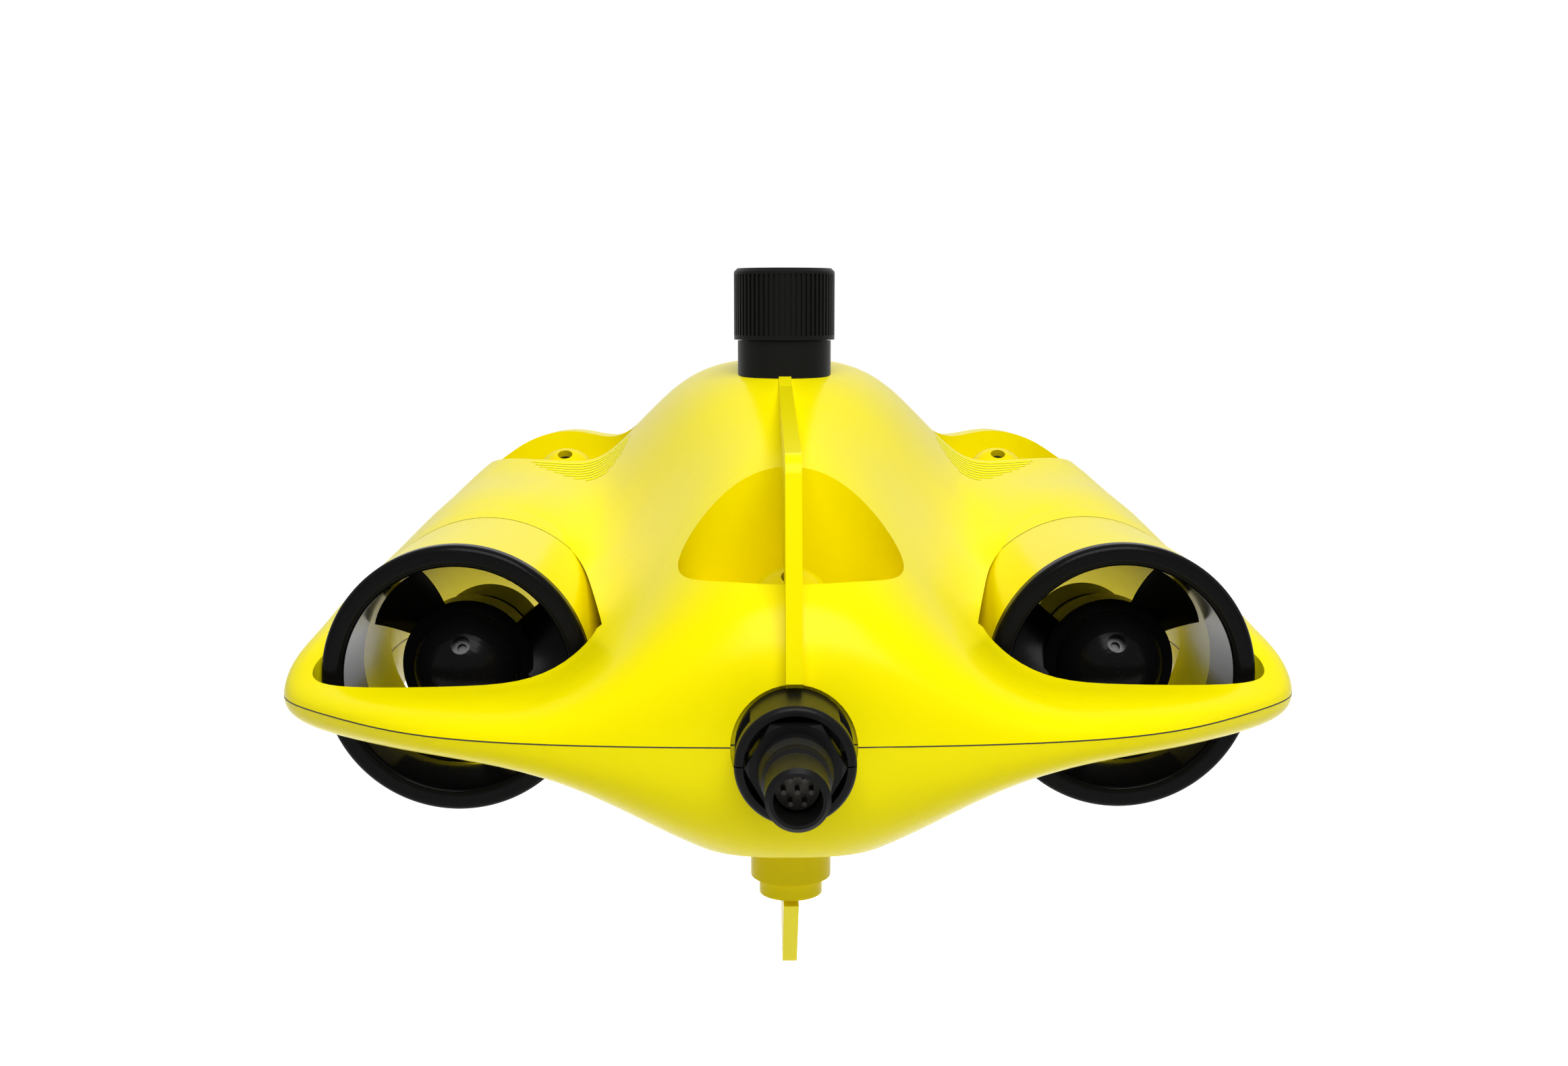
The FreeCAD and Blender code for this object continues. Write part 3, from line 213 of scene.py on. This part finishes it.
def clear_material(name, colour, roughness=0.0, ior=1.49):
    """Moulded clear window with faint unevenness in its gloss."""
    material = bpy.data.materials.new(name)
    material.use_nodes = True
    nodes, links = material.node_tree.nodes, material.node_tree.links
    shader = nodes["Principled BSDF"]
    shader.inputs["Base Color"].default_value = colour
    shader.inputs["Transmission Weight"].default_value = 1.0
    shader.inputs["IOR"].default_value = ior
    place = nodes.new("ShaderNodeTexCoord")
    haze = nodes.new("ShaderNodeTexNoise")
    haze.inputs["Scale"].default_value = 60.0
    links.new(place.outputs["Object"], haze.inputs["Vector"])
    gloss = nodes.new("ShaderNodeMath")
    gloss.operation = "MULTIPLY_ADD"
    gloss.inputs[1].default_value = 0.02
    gloss.inputs[2].default_value = roughness
    links.new(haze.outputs["Fac"], gloss.inputs[0])
    links.new(gloss.outputs[0], shader.inputs["Roughness"])
    return material


FINISH = {
    "hull": moulded("hull_yellow_gloss", HULL_YELLOW, 0.20, 0.04, 0.05, 700.0, 0.02,
                    specular=0.07),
    "thruster": moulded("thruster_yellow_gloss", THRUSTER_YELLOW, 0.24, 0.06, 0.06, 900.0, 0.03,
                        specular=0.08),
    "gloss_black": moulded("gloss_black", GLOSS_BLACK, 0.16, 0.3, 0.08, 1200.0, 0.03, specular=0.06),
    "pod_black": moulded("pod_black", POD_BLACK, 0.30, 0.3, 0.08, 1200.0, 0.04, specular=0.03),
    "satin_black": moulded("satin_black", SATIN_BLACK, 0.30, 0.3, 0.10, 2600.0, 0.08,
                           specular=0.10),
    # louver vanes: painted light, a brighter yellow for the glow inside the slits under them
    "louver_vane": moulded("louver_vane_painted_glow", VANE_PAINTED_GLOW, 0.5, 0.05, 0.05, 900.0, 0.03,
                           specular=0.03),
    "seam_black": moulded("seam_black", (0.02, 0.018, 0.004, 1), 0.6, 0.3, 0.1, 2000.0, 0.05),
    "seal_rubber": moulded("seal_rubber", (0.03, 0.03, 0.032, 1), 0.65, 0.4, 0.1, 3000.0, 0.2),
    "steel": turned_metal("stainless_steel", (0.55, 0.55, 0.56, 1), 0.24),
    # painted shade: steel darkened so the hub screws read as the shaded holes they sit in
    "dark_steel": turned_metal("dark_steel_painted_shade", (0.06, 0.06, 0.06, 1), 0.34),
    "aluminium": turned_metal("anodised_aluminium", (0.45, 0.46, 0.48, 1), 0.3, (300, 4000, 300)),
    "tube": turned_metal("hard_anodised_tube", (0.16, 0.16, 0.17, 1), 0.35, (300, 4000, 300)),
    "brass": turned_metal("turned_brass", (0.80, 0.62, 0.28, 1), 0.22),
    "pins": turned_metal("darkened_pins", (0.05, 0.048, 0.042, 1), 0.30, (3000, 300, 3000)),
    "board": moulded("board_green", (0.01, 0.13, 0.045, 1), 0.32, 0.5, 0.12, 4000.0, 0.12),
    "wrap": moulded("battery_wrap", (0.02, 0.08, 0.30, 1), 0.3, 0.3, 0.1, 800.0, 0.08),
    "clear": clear_material("dome_clear", (0.97, 0.99, 1.0, 1)),
    "lens": clear_material("lens_coated", (0.10, 0.11, 0.20, 1), 0.01, 1.6),
    "chrome": turned_metal("reflector_chrome", (0.86, 0.86, 0.87, 1), 0.08),
    "led": moulded("led_phosphor", (0.93, 0.78, 0.16, 1), 0.5, drift=0.5, grain=4000.0, relief=0.2),
}

FINISH_OF_NODE = {
    "motor_pod_left": "pod_black", "motor_pod_right": "pod_black",
    # hub screws take the darkened steel, painted shade of their holes
    "hub_screw_left": "dark_steel", "hub_screw_right": "dark_steel",
    "hub_screw_front_left": "dark_steel", "hub_screw_front_right": "dark_steel",
    "hub_screw_tail": "dark_steel",
}

FINISH_OF_SLOT = {
    "hull_yellow": "hull", "thruster_yellow": "thruster", "black_gloss": "gloss_black",
    "black_plastic": "satin_black", "steel": "steel", "aluminium": "aluminium", "brass": "brass",
    "clear": "clear", "lens_glass": "lens", "reflector": "chrome", "led_yellow": "led",
    "seal_rubber": "seal_rubber", "battery_wrap": "wrap", "board_green": "board",
    "pin_gold": "pins", "tube_clear_grey": "tube",
}


def dress_frame():
    """Give every carried-over solid the finish of its record slot."""
    slot_of = {s["node"]: s["material_slot"] for s in frame["record"]["subparts"]}
    for node in frame["nodes"]:
        solid = bpy.data.objects[node]
        material = FINISH[FINISH_OF_NODE.get(node, FINISH_OF_SLOT[slot_of[node]])]
        solid.data.materials.clear()
        solid.data.materials.append(material)


# ---- trim -------------------------------------------------------------------
SEAM_HEIGHT = 0.24 * MM
SEAM_PROUD = 0.03 * MM
SHROUD_SEAM_HALF = 0.16 * MM
SHROUD_SEAM_PROUD = 0.05 * MM
MERGE_GAP = 0.001 * MM       # corners nearer than this are one

FRONT_DUCT_R = 23.5 * MM
LOUVER_COUNT = 8
LOUVER_WIDTH = 1.1 * MM
LOUVER_PITCH = 2.7 * MM
LOUVER_FIRST = 3.2 * MM      # from the duct's mouth to the first slit
LOUVER_AIM = 73.0            # middle of the slits, turned from inboard to astern
LOUVER_SPAN = 64.0           # angle of the first slit
LOUVER_TAPER = 8.0           # angle that each next slit loses
VANE_STEPS = 28
VANE_SHARE = 0.97            # of the slit's own angle
VANE_LAP = 0.06 * MM
VANE_WIDTH = 0.5 * MM
VANE_RISE = 0.12 * MM
VANE_SEAT = 0.05 * MM

DOME_SEAL_BEAD = 0.55 * MM
DOME_SEAL_OUT = 0.3 * MM     # from the dome's skin to the middle of the bead
BEAD_SIDES = 10
# (radius, height ahead) corners of the turned rings, in millimetres
CAMERA_RING = [(6.6, -0.6), (8.3, -0.6), (8.3, 0.1), (7.9, 0.5), (7.0, 0.5), (6.6, 0.1)]
LAMP_RING = [(4.3, -0.3), (5.3, -0.3), (5.3, 0.15), (4.9, 0.45), (4.5, 0.45), (4.3, 0.2)]


def new_piece(name, mesh, finish, body="hull", smooth=False):
    """Make a finished object from a bmesh and let it ride on a body."""
    bmesh.ops.recalc_face_normals(mesh, faces=mesh.faces)
    data = bpy.data.meshes.new(name)
    mesh.to_mesh(data)
    mesh.free()
    for face in data.polygons:
        face.use_smooth = smooth
    data.materials.append(FINISH[finish])
    piece = bpy.data.objects.new(name, data)
    bpy.context.scene.collection.objects.link(piece)
    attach(piece, body)
    return piece


def seam_line():
    """Dark parting line round the hull, taken from the edge of the upper shell."""
    band = bmesh.new()
    band.from_mesh(bpy.data.objects["upper_shell"].data)
    bmesh.ops.remove_doubles(band, verts=band.verts, dist=MERGE_GAP)
    everything = band.verts[:] + band.edges[:] + band.faces[:]
    cut = bmesh.ops.bisect_plane(band, geom=everything, plane_co=(0, 0, SEAM_Z + SEAM_HEIGHT),
                                 plane_no=(0, 0, 1), clear_outer=True)
    rim = [e for e in cut["geom_cut"] if isinstance(e, bmesh.types.BMEdge)]
    bmesh.ops.triangle_fill(band, edges=rim, use_beauty=True)
    bmesh.ops.recalc_face_normals(band, faces=band.faces)
    band.normal_update()
    for vert in band.verts:
        vert.co += vert.normal * SEAM_PROUD
    new_piece("hull_seam", band, "seam_black")


def turned_ring(profile, centre, axis, steps):
    """Ring spun from (radius, height) points about an axis through a centre."""
    mesh = bmesh.new()
    across = Vector((0, 0, 1)) if abs(axis[1]) > 0.5 else Vector((1, 0, 0))
    along = Vector(axis)
    corners = [mesh.verts.new(Vector(centre) + across * r + along * h) for r, h in profile]
    outline = [mesh.edges.new((a, b)) for a, b in zip(corners, corners[1:] + corners[:1])]
    bmesh.ops.spin(mesh, geom=corners + outline, cent=centre, axis=axis, angle=2 * math.pi,
                   steps=steps, use_merge=True)
    bmesh.ops.remove_doubles(mesh, verts=mesh.verts, dist=MERGE_GAP / 2)
    return mesh


def shroud_seams():
    """Dark line where each shroud meets the nacelle ahead of it."""
    half, inner, outer = SHROUD_SEAM_HALF, SHROUD_R - SHROUD_SEAM_HALF, SHROUD_R + SHROUD_SEAM_PROUD
    band = [(inner, -half), (outer, -half), (outer, half), (inner, half)]
    for name, side in (("left", -1), ("right", 1)):
        centre = (side * DUCT_X, SHROUD_FRONT_Y, DUCT_Z)
        new_piece("shroud_seam_" + name, turned_ring(band, centre, AHEAD, 96), "seam_black")


def round_bead(radius, bead, centre, axis, steps):
    """Seal of round section, bent into a ring."""
    turns = [2 * math.pi * i / BEAD_SIDES for i in range(BEAD_SIDES)]
    section = [(radius + bead * math.cos(turn), bead * math.sin(turn)) for turn in turns]
    return turned_ring(section, centre, axis, steps)


def in_metres(profile):
    return [(r * MM, h * MM) for r, h in profile]


def louver_vanes():
    """Raised vane over each curved slit behind the front ducts, laid on the hull's skin; its
    brighter yellow is painted light standing in for the glow bounced inside the slits.
    """
    shell = bmesh.new()
    shell.from_mesh(bpy.data.objects["upper_shell"].data)
    skin = BVHTree.FromBMesh(shell)
    shell.free()
    top, down = Vector((0, 0, cad_high[2])), Vector((0, 0, -1))
    for name, side in (("left", -1), ("right", 1)):
        low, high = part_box("shaft_front_" + name)
        centre = Vector(((low.x + high.x) / 2, (low.y + high.y) / 2, 0))
        aim = math.radians(180 + LOUVER_AIM if side > 0 else -LOUVER_AIM)
        vanes = bmesh.new()
        for slit in range(LOUVER_COUNT):
            near = FRONT_DUCT_R + LOUVER_FIRST + slit * LOUVER_PITCH - VANE_LAP
            far = near + LOUVER_WIDTH + 2 * VANE_LAP
            laid = len(vanes.verts)
            span = math.radians(LOUVER_SPAN - LOUVER_TAPER * slit) * VANE_SHARE
            first = Matrix.Rotation(aim - span / 2, 3, "Z")
            section = [(near, -VANE_SEAT), (near, VANE_RISE), (near + VANE_WIDTH, -VANE_SEAT)]
            corners = [vanes.verts.new(centre + first @ Vector((r, 0, h))) for r, h in section]
            outline = [vanes.edges.new((a, b)) for a, b in zip(corners, corners[1:] + corners[:1])]
            bmesh.ops.spin(vanes, geom=corners + outline, cent=centre, axis=(0, 0, 1), angle=span,
                           steps=VANE_STEPS)
            for vert in vanes.verts[laid:]:
                out = Vector((vert.co.x - centre.x, vert.co.y - centre.y, 0))
                share = (out.length - near) / (far - near)
                lips = [skin.ray_cast(centre + out.normalized() * r + top, down)[0].z
                        for r in (near, far)]
                vert.co.z += lips[0] + (lips[1] - lips[0]) * share
        ends = [edge for edge in vanes.edges if edge.is_boundary]
        bmesh.ops.holes_fill(vanes, edges=ends, sides=3)
        new_piece("louver_vanes_" + name, vanes, "louver_vane")


def nose_trim():
    """Seal round the dome's foot, and the rings of the camera and the lamps."""
    seal_place = (0, BEZEL_FRONT_Y, DOME_Z)
    seal = round_bead(DOME_R + DOME_SEAL_OUT, DOME_SEAL_BEAD, seal_place, AHEAD, 120)
    new_piece("dome_seal", seal, "seal_rubber", smooth=True)
    camera_place = (0, BARREL_FRONT_Y, DOME_Z)
    camera_ring = turned_ring(in_metres(CAMERA_RING), camera_place, AHEAD, 96)
    new_piece("camera_trim_ring", camera_ring, "satin_black")
    for side in ("left", "right"):
        low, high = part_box("lamp_lens_" + side)
        lamp_place = ((low.x + high.x) / 2, high.y, (low.z + high.z) / 2)
        lamp_ring = turned_ring(in_metres(LAMP_RING), lamp_place, AHEAD, 64)
        new_piece("lamp_trim_ring_" + side, lamp_ring, "satin_black")


# ---- stage ------------------------------------------------------------------
SENSOR_WIDTH = 36.0
LENS = 38.7
CAMERA_PLACE = (-6.5 * MM, cad_low[1] - 287 * MM, 71 * MM)
CAMERA_TILT = 7.8            # degrees below level
CAMERA_TURN = 0.8            # degrees to starboard
FLOOR_HALF = 6.0
FLOOR_DROP = 0.19            # from the keel to the floor
FLOOR_LIFT = 0.95            # glow of the floor where it is seen
REFLECTED_SHARE = 0.7        # of the surroundings, where gloss mirrors them
WORLD_LIGHT = 0.12
# name, place, size, power in watts, and whether gloss mirrors it
LIGHTS = [
    ("key", (0.12, -0.97, 1.2), (1.0, 1.0), 22.5, True),
    ("top", (0.05, 0.1, 1.5), (1.4, 1.0), 3, False),
    ("side", (1.4, -0.4, 0.7), (0.8, 0.8), 0.5, True),
    ("bow", (-0.5, 1.6, 0.6), (1.0, 1.0), 7, False),
]


def make_camera():
    """Camera astern of the vehicle and a little above it."""
    data = bpy.data.cameras.new("camera")
    data.sensor_width = SENSOR_WIDTH
    data.lens = LENS
    data.clip_start = 0.01
    camera = bpy.data.objects.new("camera", data)
    camera.location = CAMERA_PLACE
    camera.rotation_euler = (math.radians(90 - CAMERA_TILT), 0, math.radians(-CAMERA_TURN))
    bpy.context.scene.collection.objects.link(camera)
    bpy.context.scene.camera = camera


def area_light(name, place, size, power, mirrored):
    """Soft box that points at the origin."""
    data = bpy.data.lights.new(name, "AREA")
    data.shape = "RECTANGLE"
    data.size, data.size_y = size
    data.energy = power
    lamp = bpy.data.objects.new(name, data)
    lamp.location = place
    lamp.rotation_euler = (-Vector(place)).to_track_quat("-Z", "Y").to_euler()
    lamp.visible_glossy = mirrored
    bpy.context.scene.collection.objects.link(lamp)


def seen_directly(nodes, links):
    """1 for a camera or transmission ray, less for a reflected one, and 0 for all others."""
    path = nodes.new("ShaderNodeLightPath")
    first = nodes.new("ShaderNodeMath")
    first.operation = "MULTIPLY_ADD"
    first.inputs[1].default_value = REFLECTED_SHARE
    links.new(path.outputs["Is Glossy Ray"], first.inputs[0])
    links.new(path.outputs["Is Camera Ray"], first.inputs[2])
    both = nodes.new("ShaderNodeMath")
    both.operation = "MAXIMUM"
    links.new(first.outputs[0], both.inputs[0])
    links.new(path.outputs["Is Transmission Ray"], both.inputs[1])
    return both.outputs[0]


def make_world():
    """White surroundings that light the vehicle less than they show."""
    world = bpy.data.worlds.new("white_studio")
    bpy.context.scene.world = world
    world.use_nodes = True
    nodes, links = world.node_tree.nodes, world.node_tree.links
    shown = nodes["Background"]
    level = nodes.new("ShaderNodeMapRange")
    level.inputs["To Min"].default_value = WORLD_LIGHT
    level.inputs["To Max"].default_value = 1.0
    links.new(seen_directly(nodes, links), level.inputs["Value"])
    links.new(level.outputs["Result"], shown.inputs["Strength"])
    shown.inputs["Color"].default_value = (1, 1, 1, 1)


def make_floor():
    """Plain pale floor below the keel."""
    mesh = bmesh.new()
    bmesh.ops.create_grid(mesh, x_segments=2, y_segments=2, size=FLOOR_HALF)
    bmesh.ops.translate(mesh, verts=mesh.verts, vec=(0, 0, cad_low[2] - FLOOR_DROP))
    data = bpy.data.meshes.new("floor")
    mesh.to_mesh(data)
    mesh.free()
    floor = bpy.data.objects.new("floor", data)
    bpy.context.scene.collection.objects.link(floor)
    material = bpy.data.materials.new("studio_floor")
    material.use_nodes = True
    nodes, links = material.node_tree.nodes, material.node_tree.links
    shader = nodes["Principled BSDF"]
    shader.inputs["Base Color"].default_value = (0.9, 0.9, 0.9, 1)
    shader.inputs["Roughness"].default_value = 0.9
    lift = nodes.new("ShaderNodeMath")
    lift.operation = "MULTIPLY"
    lift.inputs[1].default_value = FLOOR_LIFT
    links.new(seen_directly(nodes, links), lift.inputs[0])
    shader.inputs["Emission Color"].default_value = (1, 1, 1, 1)
    links.new(lift.outputs[0], shader.inputs["Emission Strength"])
    data.materials.append(material)


def make_stage():
    make_camera()
    make_world()
    make_floor()
    for light in LIGHTS:
        area_light(*light)
    bpy.context.scene.view_settings.view_transform = "Standard"


make_stage()
dress_frame()
seam_line()
shroud_seams()
louver_vanes()
nose_trim()
